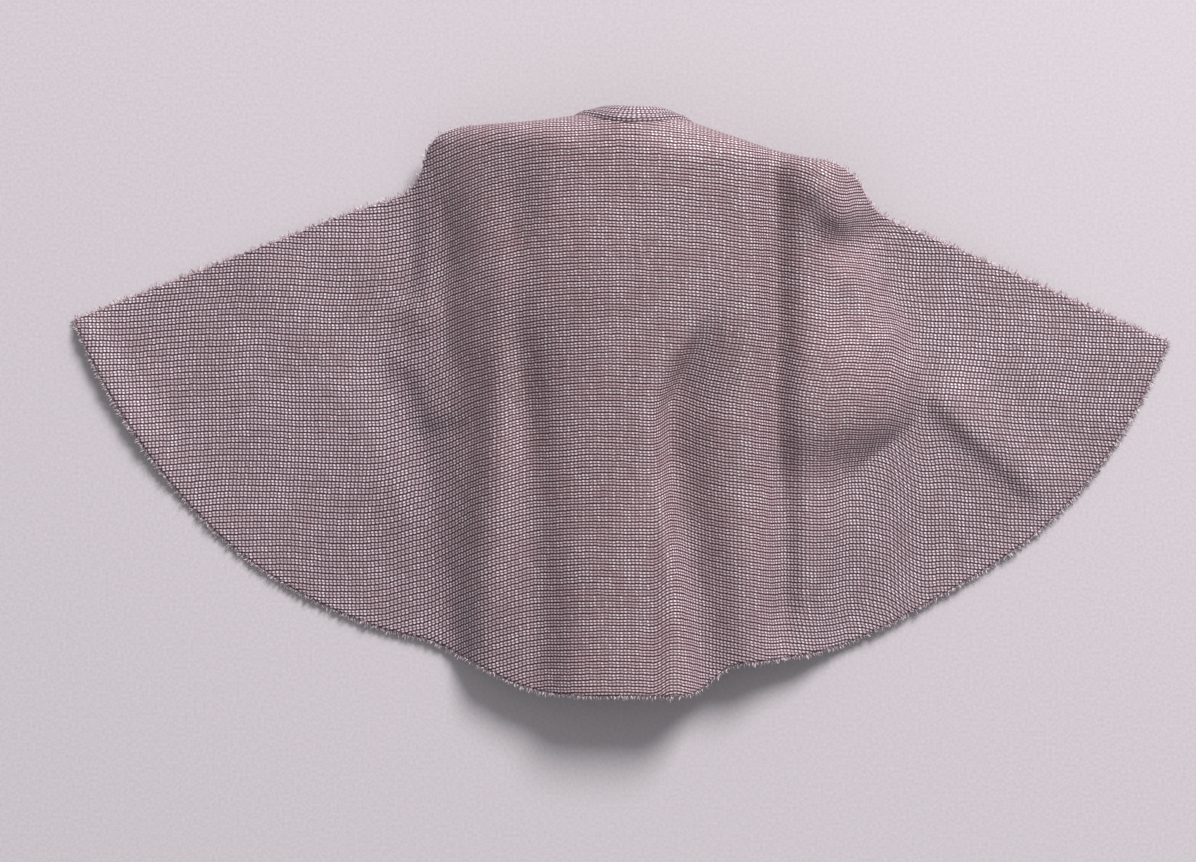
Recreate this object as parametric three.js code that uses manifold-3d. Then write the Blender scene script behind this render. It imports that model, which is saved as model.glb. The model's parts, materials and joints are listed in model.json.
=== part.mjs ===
// A doll-size hero cape of raw-cut knit cloth, with a folded band round its neckline and a
// sew-on press snap under the throat. It lies with its outer face up, humped over the space
// that the wearer's back fills, its two sides spread flat. Millimetres, +Z up.
// +Y points to the wearer's head and +X to the wearer's right hand.
import * as THREE from "three";
import { mergeVertices } from "three/addons/utils/BufferGeometryUtils.js";
import Module from "manifold-3d";

const wasm = await Module();
wasm.setup();
const degree = Math.PI / 180;

// Cloth, as seen from above. Places in plan are [x, y] from the nape of the neck.
const clothThickness = 0.6;
const hemRadius = 78; // nape to hem
const leftFrontAngle = 68.5; // each front edge's angle from the centre back
const rightFrontAngle = 65.5;
const seamGap = 0.3; // between two pieces that are sewn together

// Neckline and its band, before they turn down over the shoulders
const neckRadius = 6; // inner edge of the band
const napeY = -0.2; // where the band's inner edge crosses the centre back
const bandWidth = 2.2;
const bandThickness = 1.3;
const clothNeckAngle = 125; // how far round the neck the cloth goes, each way
const bandRightAngle = 112; // where the band's right end leaves off and the tab begins
const bandEndThickness = 1.6; // of the round end that the band's left end goes into

// The hump over the wearer's back
const napeHeight = 17;
const waistHeight = 14.5;
const hemHeight = 10;
const humpFlatness = 3.2; // a higher power has a flatter top and steeper sides
const shoulderRoll = 5.5; // radius of the turn down over the shoulders
const leftFold = { top: [-30.2, -11.8], bottom: [-23.7, -72.9] };
const rightFold = { top: [32.2, -15.1], bottom: [22.6, -73] };
const foldGap = 1.4; // left open between the back and each side, for the cloth to bend in

// Where the cloth turns down over the shoulders, from left to right
const shoulderLine = [
  [-32, -4.5],
  [-19, -3.4],
  [-12, -2.8],
  [-6, -1.9],
  [0, -0.3],
  [6, -2.6],
  [13.8, -5.3],
  [19, -7],
  [27, -8.5],
  [33, -10],
];

// Front edges between the neckline and the tips, with the cloth laid out straight
const leftFront = [
  [-13, 4.5],
  [-19, -0.3],
  [-24.5, -3],
  [-27.6, -5.6],
  [-30.2, -11.8],
  [-40, -15.6],
];
const rightFront = [
  [13, 3],
  [19, -3.9],
  [25, -7.2],
  [29, -10.6],
  [32.2, -15.1],
  [42, -19.5],
];

// Pleats that run down the back: rise is up for a ridge and down for a furrow
const pleats = [
  { from: [-16.4, -28], to: [-15.8, -hemRadius], width: 3, rise: 1.4 },
  { from: [-14.2, -12], to: [-10, -hemRadius], width: 3, rise: -1.9 },
  { from: [2, -36], to: [2.6, -hemRadius], width: 3.8, rise: 2 },
  { from: [10.5, -40], to: [12.9, -hemRadius], width: 3, rise: -1.7 },
  { from: [17.1, -44], to: [18.4, -hemRadius], width: 3, rise: 1.3 },
  { from: [20.8, -10], to: [21.7, -40], width: 3, rise: -1.7 },
  { from: [25.2, -12.2], to: [28, -20], width: 4, rise: 1.8 },
];

// Press snap: the ball half is sewn to the band's left end, the socket half to the tab
const snapRadius = 2.2;
const flangeThickness = 0.35;
const studRadius = 0.7;
const studLength = 0.9;
const studClearance = 0.25;
const socketThickness = 0.9;
const springWire = 0.14; // radius of the ring of wire that grips the stud
const snapGap = 0.15; // between stacked parts of the snap
const tabThickness = 1;
const tabLength = 8; // from the snap's centre to the tab's bend
const tabMargin = 0.8; // cloth left round the snap
const threadWidth = 0.3;
const threadThickness = 0.2;

const neckCentreY = napeY + neckRadius;
const tabRadius = snapRadius + tabMargin;
const clothNeckRadius = neckRadius + bandWidth + seamGap;
const bandMiddle = neckRadius + bandWidth / 2;
const roundEndAngle = Math.asin((tabRadius + seamGap) / bandMiddle) / degree;

// Smoothly joins a list of [x, y] points, and holds its ends
function heightAlong(points, x) {
  const last = points.length - 1;
  if (x <= points[0][0]) return points[0][1];
  if (x >= points[last][0]) return points[last][1];
  const k = points.findIndex((p) => p[0] > x) - 1;
  const t = (x - points[k][0]) / (points[k + 1][0] - points[k][0]);
  const eased = (t * (3 - 2 * t) + t) / 2;
  return points[k][1] + (points[k + 1][1] - points[k][1]) * eased;
}

function foldX(fold, y) {
  const along = (y - fold.top[1]) / (fold.bottom[1] - fold.top[1]);
  return fold.top[0] + (fold.bottom[0] - fold.top[0]) * along;
}

function distanceTo(pleat, x, y) {
  const a = new THREE.Vector2(...pleat.from);
  const run = new THREE.Vector2(...pleat.to).sub(a);
  const p = new THREE.Vector2(x, y).sub(a);
  const along = THREE.MathUtils.clamp(p.dot(run) / run.lengthSq(), 0, 1);
  return p.sub(run.multiplyScalar(along)).length();
}

// Height of the middle of the cloth above the table, before it turns over the shoulders
function clothHeight(x, y) {
  const left = foldX(leftFold, y);
  const right = foldX(rightFold, y);
  const across = (2 * x - left - right) / (right - left);
  if (Math.abs(across) >= 1) return clothThickness / 2;
  const hump = 1 - Math.abs(across) ** humpFlatness;
  const spine = [
    [-hemRadius, hemHeight],
    [-hemRadius * 0.4, waistHeight],
    [0, napeHeight],
  ];
  const bulge = (p) => p.rise * Math.exp(-((distanceTo(p, x, y) / p.width) ** 2));
  const pleating = pleats.reduce((sum, p) => sum + bulge(p), 0);
  return clothThickness / 2 + hump * (heightAlong(spine, y) + pleating);
}

// Takes a place on the straightened cloth to where it lies, turned down over the shoulders
function drape(x, y) {
  const line = heightAlong(shoulderLine, x);
  const height = clothHeight(x, Math.min(y, line - shoulderRoll));
  const roll = Math.min(shoulderRoll, (height - clothThickness) / 2);
  const past = y - (line - shoulderRoll);
  if (past <= 0 || roll <= 0) return new THREE.Vector3(x, y, height);
  const turned = Math.min(past / roll, Math.PI);
  const straight = past - turned * roll;
  return new THREE.Vector3(
    x,
    line - shoulderRoll + roll * Math.sin(turned) - straight,
    height - roll * (1 - Math.cos(turned)),
  );
}

// A closed sheet of even thickness about the middle surface at(column, row). Its columns run
// to the left of its rows' direction, so that the first face points up.
function sheet(columns, rows, thickness, at, lift = 0) {
  const middle = [];
  for (let i = 0; i <= columns; i++) {
    middle.push([]);
    for (let j = 0; j <= rows; j++) middle[i].push(at(i / columns, j / rows));
  }
  const normal = (i, j) => {
    const i1 = Math.min(i + 1, columns);
    const i0 = Math.max(i - 1, 0);
    const j1 = Math.min(j + 1, rows);
    const j0 = Math.max(j - 1, 0);
    const alongColumns = middle[i1][j].clone().sub(middle[i0][j]);
    const alongRows = middle[i][j1].clone().sub(middle[i][j0]);
    return alongRows.cross(alongColumns).normalize();
  };
  const corners = [];
  for (const side of [0.5, -0.5]) {
    for (let i = 0; i <= columns; i++) {
      for (let j = 0; j <= rows; j++) {
        const reach = lift + side * thickness;
        corners.push(...middle[i][j].clone().addScaledVector(normal(i, j), reach));
      }
    }
  }
  const upper = (i, j) => i * (rows + 1) + j;
  const lower = (i, j) => (columns + 1) * (rows + 1) + upper(i, j);
  const faces = [];
  const quad = (a, b, c, d) => faces.push(a, b, c, a, c, d);
  for (let i = 0; i < columns; i++) {
    for (let j = 0; j < rows; j++) {
      quad(upper(i, j), upper(i, j + 1), upper(i + 1, j + 1), upper(i + 1, j));
      quad(lower(i, j), lower(i + 1, j), lower(i + 1, j + 1), lower(i, j + 1));
    }
    quad(upper(i, 0), upper(i + 1, 0), lower(i + 1, 0), lower(i, 0));
    quad(upper(i + 1, rows), upper(i, rows), lower(i, rows), lower(i + 1, rows));
  }
  for (let j = 0; j < rows; j++) {
    quad(upper(0, j + 1), upper(0, j), lower(0, j), lower(0, j + 1));
    quad(upper(columns, j), upper(columns, j + 1), lower(columns, j + 1), lower(columns, j));
  }
  const geometry = new THREE.BufferGeometry();
  geometry.setAttribute("position", new THREE.Float32BufferAttribute(corners, 3));
  geometry.setIndex(faces);
  return geometry;
}

function solid(geometry) {
  const bare = geometry.clone();
  bare.deleteAttribute("normal");
  bare.deleteAttribute("uv");
  const merged = mergeVertices(bare, 1e-4);
  return new wasm.Manifold(
    new wasm.Mesh({
      numProp: 3,
      vertProperties: merged.attributes.position.array,
      triVerts: new Uint32Array(merged.index.array),
    }),
  );
}

function geometryOf(manifold) {
  const mesh = manifold.getMesh();
  const geometry = new THREE.BufferGeometry();
  geometry.setAttribute("position", new THREE.BufferAttribute(mesh.vertProperties, 3));
  geometry.setIndex(new THREE.BufferAttribute(mesh.triVerts, 1));
  return geometry.toNonIndexed();
}

function piece(name, geometry, material) {
  const mesh = new THREE.Mesh(geometry, material);
  mesh.name = name;
  mesh.geometry.computeVertexNormals();
  return mesh;
}

// A place on the straightened neckline, at an angle round from the nape, rightwards positive
function neckPoint(angle, radius) {
  const x = radius * Math.sin(angle * degree);
  return [x, neckCentreY - radius * Math.cos(angle * degree)];
}

// The straightened cloth bulges very slightly, because a boolean cut thins out a flat mesh
const bulgeAt = (x, y) => -(x * x + y * y) / (5 * hemRadius);

// The whole cloth laid out straight, from its neckline to its hem
function clothSheet() {
  const columns = 44;
  const rows = 20;
  const hemCrowding = 1.4; // brings more of the columns to the pleated back
  const sides = [
    { way: -1, front: leftFront, angle: leftFrontAngle },
    { way: 1, front: rightFront, angle: rightFrontAngle },
  ];
  for (const side of sides) {
    side.neck = new THREE.Vector2(...neckPoint(side.way * clothNeckAngle, clothNeckRadius));
    const turn = side.way * side.angle * degree;
    side.tip = new THREE.Vector2(Math.sin(turn), -Math.cos(turn)).multiplyScalar(hemRadius);
    const points = side.front.map((p) => new THREE.Vector2(...p));
    side.edge = new THREE.SplineCurve([side.neck, ...points, side.tip]);
  }
  return sheet(columns, rows, clothThickness, (across, down) => {
    const u = 2 * across - 1;
    const side = sides[u < 0 ? 0 : 1];
    const near = new THREE.Vector2(...neckPoint(u * clothNeckAngle, clothNeckRadius));
    const turn = side.way * side.angle * degree * Math.abs(u) ** hemCrowding;
    const far = new THREE.Vector2(Math.sin(turn), -Math.cos(turn)).multiplyScalar(hemRadius);
    const place = near.lerp(far, down);
    const straight = side.neck.clone().lerp(side.tip, down);
    const bow = side.edge.getPointAt(down).sub(straight);
    place.addScaledVector(bow, Math.abs(u) ** 3);
    return new THREE.Vector3(place.x, place.y, bulgeAt(place.x, place.y));
  });
}

// Lays a part of the straightened cloth over the wearer's back
function draped(part) {
  const geometry = geometryOf(part);
  const points = geometry.attributes.position;
  const step = clothThickness / 20;
  for (let i = 0; i < points.count; i++) {
    const x = points.getX(i);
    const y = points.getY(i);
    const side = Math.sign(points.getZ(i) - bulgeAt(x, y));
    const acrossX = drape(x + step, y).sub(drape(x - step, y));
    const acrossY = drape(x, y + step).sub(drape(x, y - step));
    const normal = acrossX.cross(acrossY).normalize();
    const place = drape(x, y).addScaledVector(normal, (side * clothThickness) / 2);
    points.setXYZ(i, ...place);
  }
  return geometry;
}

// Everything beyond a fold's line, once the line has moved outwards by some distance
function beyondFold(fold, outwards) {
  const far = 3 * hemRadius;
  const way = Math.sign(fold.top[0]);
  const edge = (y) => foldX(fold, y) + way * outwards;
  const outline = new THREE.Shape([
    new THREE.Vector2(edge(-far), -far),
    new THREE.Vector2(way * far, -far),
    new THREE.Vector2(way * far, far),
    new THREE.Vector2(edge(far), far),
  ]);
  const block = new THREE.ExtrudeGeometry(outline, { depth: 2 * far, bevelEnabled: false });
  return solid(block.translate(0, 0, -far));
}

// A strip along the band from an angle on its left, between two distances from its inner edge
function bandStrip(leftAngle, inner, outer, thickness, lift) {
  const span = leftAngle + bandRightAngle;
  return sheet(
    48,
    2,
    thickness,
    (along, across) => {
      const radius = neckRadius + inner + (outer - inner) * across;
      return drape(...neckPoint(span * along - leftAngle, radius));
    },
    lift,
  );
}

// The stitches along the outside of the band, as far as its round end
function stitchLine() {
  const from = (bandWidth - threadWidth) / 2;
  const lift = (bandThickness + threadThickness) / 2 + snapGap;
  return bandStrip(180 - roundEndAngle, from, from + threadWidth, threadThickness, lift);
}

// Turned parts of the snap: points are [radius, height] and close on themselves
function turned(points, segments = 32) {
  const profile = points.map((p) => new THREE.Vector2(...p));
  return new THREE.LatheGeometry(profile, segments).rotateX(Math.PI / 2);
}

function snapBall() {
  const neck = studRadius * 0.75;
  const tip = -flangeThickness - studLength;
  const bulb = studRadius * 0.4;
  return turned([
    [0, tip],
    [studRadius * 0.7, tip],
    [studRadius, tip + bulb],
    [neck, -flangeThickness],
    [snapRadius, -flangeThickness],
    [snapRadius, -flangeThickness * 0.3],
    [snapRadius - flangeThickness * 0.5, 0],
    [0, 0],
  ]);
}

const boreRadius = studRadius + studClearance;
const springRadius = boreRadius + springWire + 0.02; // to the middle of its wire
const grooveRadius = springRadius + springWire + studClearance;

function snapSocket() {
  const middle = -socketThickness / 2;
  const grooveHalf = springWire + 0.06;
  const bevel = 0.15;
  return turned([
    [boreRadius, -socketThickness],
    [snapRadius, -socketThickness],
    [snapRadius, -bevel],
    [snapRadius - bevel, 0],
    [boreRadius, 0],
    [boreRadius, middle + grooveHalf],
    [grooveRadius, middle + grooveHalf],
    [grooveRadius, middle - grooveHalf],
    [boreRadius, middle - grooveHalf],
    [boreRadius, -socketThickness],
  ]);
}

// A ring of wire that is open at one side, so that it can spread over the stud
function snapSpring() {
  const gap = 40 * degree;
  const ring = new THREE.Curve();
  ring.getPoint = (t) => {
    const turn = gap / 2 + t * (2 * Math.PI - gap);
    const x = springRadius * Math.cos(turn);
    return new THREE.Vector3(x, springRadius * Math.sin(turn), 0);
  };
  const section = new THREE.Shape().absarc(0, 0, springWire, 0, 2 * Math.PI);
  const wire = { steps: 24, curveSegments: 4, bevelEnabled: false, extrudePath: ring };
  return new THREE.ExtrudeGeometry(section, wire);
}

// The crossed stitches that show on the far side of the cloth from each half of the snap
function crossStitch() {
  const reach = snapRadius * 0.75;
  const bar = new THREE.BoxGeometry(2 * reach, threadWidth, threadThickness);
  const other = bar.clone().rotateZ(Math.PI / 2);
  return geometryOf(solid(bar).add(solid(other)));
}

function closingTab() {
  const outline = new THREE.Shape();
  outline.moveTo(tabLength, -tabRadius);
  outline.lineTo(tabLength, tabRadius);
  outline.lineTo(0, tabRadius);
  outline.absarc(0, 0, tabRadius, Math.PI / 2, (3 * Math.PI) / 2, false);
  outline.closePath();
  const options = { depth: tabThickness, bevelEnabled: false, curveSegments: 16 };
  return new THREE.ExtrudeGeometry(outline, options);
}

// Materials
const knit = () => new THREE.MeshStandardMaterial({ color: 0x99868f, roughness: 0.75 });
const steel = () =>
  new THREE.MeshStandardMaterial({ color: 0xb9b9bc, roughness: 0.3, metalness: 1 });
const thread = () => new THREE.MeshStandardMaterial({ color: 0x8b7a83, roughness: 0.7 });

const cape = new THREE.Group();

// Cloth
const cloth = solid(clothSheet());
const leftSide = beyondFold(leftFold, foldGap / 2);
const rightSide = beyondFold(rightFold, foldGap / 2);
const back = cloth
  .subtract(beyondFold(leftFold, -foldGap / 2))
  .subtract(beyondFold(rightFold, -foldGap / 2));
cape.add(piece("back_panel", draped(back), knit()));
cape.add(piece("left_wing", draped(cloth.intersect(leftSide)), knit()));
cape.add(piece("right_wing", draped(cloth.intersect(rightSide)), knit()));

// Neck band, with a round end under the throat that carries the ball half of the snap
const throat = drape(...neckPoint(180, bandMiddle));
const strip = solid(bandStrip(180 - roundEndAngle / 2, 0, bandWidth, bandThickness, 0));
const roundEnd = new THREE.CylinderGeometry(tabRadius, tabRadius, bandEndThickness, 32);
roundEnd.rotateX(Math.PI / 2).translate(throat.x, throat.y, throat.z);
cape.add(piece("neck_band", geometryOf(strip.add(solid(roundEnd))), knit()));
cape.add(piece("band_thread", stitchLine(), thread()));

// Snap, stacked downwards from the round end of the band
const ballSeat = throat.z - bandEndThickness / 2 - snapGap;
const socketTop = ballSeat - flangeThickness - snapGap;
const tabTop = socketTop - socketThickness - snapGap;
const snap = new THREE.Group();
snap.position.set(throat.x, throat.y, 0);
cape.add(snap);

const ball = piece("snap_ball", snapBall(), steel());
ball.position.z = ballSeat;
const ballThread = piece("ball_thread", crossStitch(), thread());
ballThread.position.z = throat.z + bandEndThickness / 2 + snapGap + threadThickness / 2;
snap.add(ball, ballThread);

const tab = piece("closing_tab", closingTab(), knit());
tab.position.z = tabTop - tabThickness;
const socket = piece("snap_socket", snapSocket(), steel());
socket.position.z = socketTop;
const spring = piece("snap_spring", snapSpring(), steel());
spring.position.z = socketTop - socketThickness / 2;
const socketThread = piece("socket_thread", crossStitch(), thread());
socketThread.position.z = tabTop - tabThickness - snapGap - threadThickness / 2;
snap.add(tab, socket, spring, socketThread);

// The origin is the middle of the ground that the cape covers
cape.updateMatrixWorld(true);
const covered = new THREE.Box3().setFromObject(cape, true);
const middle = covered.getCenter(new THREE.Vector3());
cape.position.set(-middle.x, -middle.y, -covered.min.z);

export default cape;
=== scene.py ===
import json
import math

import bmesh
import bpy
import numpy as np
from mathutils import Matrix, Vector


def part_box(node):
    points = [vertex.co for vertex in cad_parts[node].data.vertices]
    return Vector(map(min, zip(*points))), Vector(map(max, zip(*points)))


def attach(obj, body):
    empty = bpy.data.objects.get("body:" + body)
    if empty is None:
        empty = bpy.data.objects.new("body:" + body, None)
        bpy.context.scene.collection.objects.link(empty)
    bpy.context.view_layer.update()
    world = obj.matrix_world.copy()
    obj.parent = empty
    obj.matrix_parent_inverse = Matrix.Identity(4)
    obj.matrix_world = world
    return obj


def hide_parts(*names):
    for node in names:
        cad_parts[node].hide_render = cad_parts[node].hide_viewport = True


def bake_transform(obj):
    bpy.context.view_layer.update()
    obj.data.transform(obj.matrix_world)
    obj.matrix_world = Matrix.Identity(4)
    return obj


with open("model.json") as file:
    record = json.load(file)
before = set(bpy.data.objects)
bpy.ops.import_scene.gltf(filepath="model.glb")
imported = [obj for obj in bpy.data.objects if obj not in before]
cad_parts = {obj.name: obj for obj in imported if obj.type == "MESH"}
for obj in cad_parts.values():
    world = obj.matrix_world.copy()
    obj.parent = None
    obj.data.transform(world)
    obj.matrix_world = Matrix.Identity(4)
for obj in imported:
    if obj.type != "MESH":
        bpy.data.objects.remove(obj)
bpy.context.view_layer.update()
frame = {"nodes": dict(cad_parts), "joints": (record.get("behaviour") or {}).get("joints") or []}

# A doll-size hero cape of raw-cut knit, lying outer face up and humped over the space for the
# wearer's back. The shapes below are in millimetres from near the nape of the neck, with +X to
# the wearer's right hand and +Y to the head. toFrame() takes them to the model's own metres.
joints = {joint["name"]: joint for joint in frame["joints"]}
leftFoldTop = np.array([-30.2, -11.8])
nape = np.array([*(np.array(joints["left_fold"]["pos_m"][:2]) * 1000 - leftFoldTop), 0])


def toFrame(points):
    return (np.asarray(points, float) + nape) / 1000


# Small helpers
def smoothLine(points, at):
    # a smooth curve through [place, value] points, held at its ends
    place, value = np.array(sorted(points), float).T
    slope = np.gradient(value, place)
    at = np.clip(at, place[0], place[-1])
    k = np.clip(np.searchsorted(place, at) - 1, 0, len(place) - 2)
    step = place[k + 1] - place[k]
    t = (at - place[k]) / step
    return (
        (2 * t**3 - 3 * t**2 + 1) * value[k]
        + (t**3 - 2 * t**2 + t) * step * slope[k]
        + (3 * t**2 - 2 * t**3) * value[k + 1]
        + (t**3 - t**2) * step * slope[k + 1]
    )


def smoothStep(low, high, at):
    t = np.clip((at - low) / (high - low), 0, 1)
    return t * t * (3 - 2 * t)


def curveThrough(points, count=400):
    # even steps along a spline through the points
    points = np.array(points, float)
    ends = np.vstack([2 * points[0] - points[1], points, 2 * points[-1] - points[-2]])
    fine = []
    for a, b, c, d in zip(ends, ends[1:], ends[2:], ends[3:]):
        t = np.linspace(0, 1, 40, endpoint=False)[:, None]
        fine.append(
            b + 0.5 * t * (c - a + t * (2 * a - 5 * b + 4 * c - d + t * (3 * (b - c) + d - a)))
        )
    fine = np.vstack([*fine, points[-1:]])
    run = np.concatenate([[0], np.cumsum(np.linalg.norm(np.diff(fine, axis=0), axis=1))])
    at = np.linspace(0, run[-1], count)
    return np.stack([np.interp(at, run, fine[:, i]) for i in range(fine.shape[1])], axis=1)


def alongCurve(curve, share):
    at = np.asarray(share) * (len(curve) - 1)
    return np.stack(
        [np.interp(at, np.arange(len(curve)), curve[:, i]) for i in range(curve.shape[1])], axis=-1
    )


def newMesh(name, points, faces, material, uv=None):
    mesh = bpy.data.meshes.new(name)
    mesh.from_pydata([tuple(p) for p in points], [], faces)
    mesh.materials.append(material)
    if uv is not None:
        layer = mesh.uv_layers.new(name="stitchCount")
        layer.data.foreach_set("uv", np.asarray(uv, np.float32).ravel())
    mesh.shade_smooth()
    mesh.update()
    piece = bpy.data.objects.new(name, mesh)
    bpy.context.scene.collection.objects.link(piece)
    return piece


# The cloth's cut. Angles are in degrees from the middle of the hem, round the nape.
cloth = {
    "thickness": 0.5,
    "wale": 0.5,  # one stitch across
    "course": 0.8,  # one row, which is two beads high
    "neckRadius": 8.5,
    "neckCentreY": 5.8,
    "neckAngle": 125,  # how far the neck's edge goes round to each side
    "frontAngles": (68.5, 65.5),  # where the left and right tips are
    "columns": 170,  # of the mesh of one side
    "rows": 230,
    "crowding": 1.4,  # more than 1 crowds the columns towards the middle of the back
    "clearance": 0.05,  # over the table
}

hemRadii = [  # [angle, radius]
    [-68.6, 79.1], [-55, 79], [-40, 78.8], [-26, 77], [-19.7, 75.9], [-17, 76.5], [-11, 78.3],
    [0, 78.2], [6, 78], [9.6, 75.4], [13, 75.6], [18.5, 76.3], [31.7, 76.4], [44.6, 77.6],
    [65.5, 76.9],
]

# The line where the cloth turns down over the shoulders, [x, y], with the radius of its turn
# there, and the front edges, which start at the neck and end at the tips
shoulderLine = [
    [-32, -4.5], [-19, -3.4], [-12, -2.8], [-6, -1.9], [0, -0.3], [6, -2.6], [13.8, -5.3],
    [19, -7], [27, -8.5], [33, -10],
]
shoulderRoll = [[-24, 2.4], [-13, 3], [-6, 5.5], [6, 5.5], [13, 3.2], [24, 2.2]]
leftFront = [[-13, 4.5], [-19, -0.9], [-23.6, -3.4], [-26.8, -6.2], [-29.6, -12], [-40, -15.9]]
rightFront = [[13, 3], [19, -3.9], [25, -7.2], [29, -10.6], [32.2, -15.1], [42, -19.5]]

# Where the hump meets the sides, [y, x], how steeply it does so, [y, power], and how high its
# back is, [y, height]
leftFoot = [[0, -29], [-10, -28.8], [-20, -28.8], [-32, -30], [-45, -28], [-60, -25], [-82, -22]]
rightFoot = [
    [0, 36], [-15, 33.3], [-26, 34], [-36, 38], [-42, 36.4], [-48, 29.5], [-58, 27.5], [-82, 26.5],
]
leftPower = [[0, 1.9], [-25, 2.8], [-45, 2.2], [-82, 2.6]]
rightPower = [[0, 4], [-25, 4.6], [-82, 2]]
spine = [[2, 16.5], [-12, 15.6], [-31, 13], [-60, 9.6], [-84, 8]]

# Each side lies in a shallow slope down from the hump to its tip, and settles near the hem
slopes = {
    "left": 1.1,
    "right": 2.6,
    "reach": 46,
    "foot": 0.9,  # softness of the hump's foot
    "raised": (0.2, 5),  # heights over which the cloth goes from lying to hanging over the hump
    "hemRadius": 77.5,
    "hemReach": 20,
    "atHem": 0.3,  # share of the slope that is left at the hem
    "lift": 0.1,
    "liftInside": 0.18,
}
ripples = [  # [height, waves along x, waves along y, start]
    (0.16, 0.21, 0.09, 1), (0.12, -0.13, 0.26, 0), (0.08, 0.47, 0.31, 0),
]

# Ridges and furrows of the back, and wrinkles of the sides. Each runs down its line, with a
# width of its own towards -X and towards +X, and dies out over the fade lengths at its ends.
folds = [
    {"line": [[-16.6, -12], [-17.6, -35], [-19.6, -60], [-20.4, -80]],
     "rise": 1.3, "widths": (2.4, 2.6), "fade": (14, 0)},
    {"line": [[-27.5, -7], [-25.6, -13], [-24.8, -22], [-25.2, -34], [-26.4, -46]],
     "rise": -1.4, "widths": (3.4, 3), "fade": (12, 14)},
    {"line": [[-13.6, -3], [-16.6, -24], [-14.6, -38], [-13, -52], [-11.8, -80]],
     "rise": -1.3, "widths": (3.1, 2.9), "fade": (12, 0)},
    {"line": [
        [12.6, -27.5], [8.4, -32.5], [5.4, -38], [4.5, -43], [5.7, -53], [7.6, -64], [9.6, -80],
    ], "rise": -3.4, "widths": (1.6, 5), "fade": (15, 0)},
    {"line": [[17.8, -6], [18.4, -28], [18.3, -42], [19, -55], [19.4, -80]],
     "rise": -2.7, "widths": (2.1, 2.8), "fade": (0, 16)},
    {"line": [[25.6, -12], [26.6, -14.5]], "rise": 2.9, "widths": (3.2, 3.2), "fade": (0, 0)},
    {"line": [[27.6, -19], [31, -17.8]], "rise": -1.9, "widths": (3.2, 3.2), "fade": (0, 0)},
    {"line": [[23.6, -16], [29, -25], [34, -34.5]],
     "rise": 1.2, "widths": (2, 3.2), "fade": (9, 4)},
    {"line": [[37.2, -36.5], [44.6, -43.6], [55.8, -53.6]],
     "rise": 1.15, "widths": (1.9, 4.2), "fade": (5, 6)},
    {"line": [[-33.4, -31.5], [-28.2, -36], [-25, -44.5]],
     "rise": 0.9, "widths": (2.4, 3.8), "fade": (4, 4)},
    {"line": [[-30.6, -25], [-25.4, -32]], "rise": 0.8, "widths": (2.8, 2.8), "fade": (3, 4)},
    {"line": [[-73.6, -28], [-69.8, -37], [-64, -46], [-57, -54]],
     "rise": 1, "widths": (3, 3.2), "fade": (3, 14)},
]


def alongFold(fold, x, y):
    # how much one fold raises the cloth
    line = curveThrough(fold["line"], 60)
    run = np.linalg.norm(line[1] - line[0])
    total = run * (len(line) - 1)
    nearest = np.full(x.shape, 1e9)
    place = np.zeros(x.shape)
    side = np.zeros(x.shape)
    for i, (a, b) in enumerate(zip(line, line[1:])):
        step = b - a
        t = np.clip(((x - a[0]) * step[0] + (y - a[1]) * step[1]) / (step @ step), 0, 1)
        dx, dy = x - a[0] - t * step[0], y - a[1] - t * step[1]
        far = np.hypot(dx, dy)
        closer = far < nearest
        nearest = np.where(closer, far, nearest)
        place = np.where(closer, (i + t) * run, place)
        side = np.where(closer, step[0] * dy - step[1] * dx, side)
    width = np.where(side < 0, *fold["widths"])
    strength = np.ones(x.shape)
    if fold["fade"][0]:
        strength *= smoothStep(0, fold["fade"][0], place)
    if fold["fade"][1]:
        strength *= smoothStep(0, fold["fade"][1], total - place)
    return fold["rise"] * strength * np.exp(-((nearest / width) ** 2))


def clothHeight(x, y):
    # the middle of the cloth above the table, before it turns over the shoulders
    left, right = smoothLine(leftFoot, y), smoothLine(rightFoot, y)
    centre = (left + right) / 2
    leftwards = x < centre
    share = np.where(leftwards, (centre - x) / (centre - left), (x - centre) / (right - centre))
    power = np.where(leftwards, smoothLine(leftPower, y), smoothLine(rightPower, y))
    beyond = np.where(leftwards, left - x, x - right)
    side = np.where(leftwards, slopes["left"], slopes["right"])
    side = side * np.clip(1 - np.maximum(beyond, 0) / slopes["reach"], 0, 1) ** 1.5
    inside = smoothStep(0, slopes["hemReach"], slopes["hemRadius"] - np.hypot(x, y))
    side = side * (slopes["atHem"] + (1 - slopes["atHem"]) * inside)
    rise = (smoothLine(spine, y) - side) * (1 - share**power)
    rise = (rise + np.sqrt(rise**2 + slopes["foot"] ** 2)) / 2
    wrinkles = sum(alongFold(fold, x, y) for fold in folds)
    raised = smoothStep(*slopes["raised"], rise)
    lifts = np.maximum(wrinkles, 0) + raised * np.minimum(wrinkles, 0)
    ripple = sum(size * np.sin(x * inX + y * inY + start) for size, inX, inY, start in ripples)
    lie = (1 - raised) * (slopes["lift"] + (slopes["liftInside"] + ripple) * inside)
    return cloth["thickness"] / 2 + cloth["clearance"] + side + rise + lifts + lie


def drape(x, y):
    # from the straightened cloth to where it lies
    line = smoothLine(shoulderLine, x)
    widest = smoothLine(shoulderRoll, x)
    height = clothHeight(x, np.minimum(y, line - widest))
    roll = np.clip((height - cloth["thickness"]) / 2, 0.02, widest)
    past = np.maximum(y - (line - roll), 0)
    turned = np.minimum(past / roll, np.pi)
    straight = past - turned * roll
    lain = np.where(past > 0, line - roll + roll * np.sin(turned) - straight, y)
    return np.stack([x, lain, height - roll * (1 - np.cos(turned))], axis=-1)


eye = {"over": (-4.86, -43.5), "height": 350, "width": 157.2}


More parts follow.
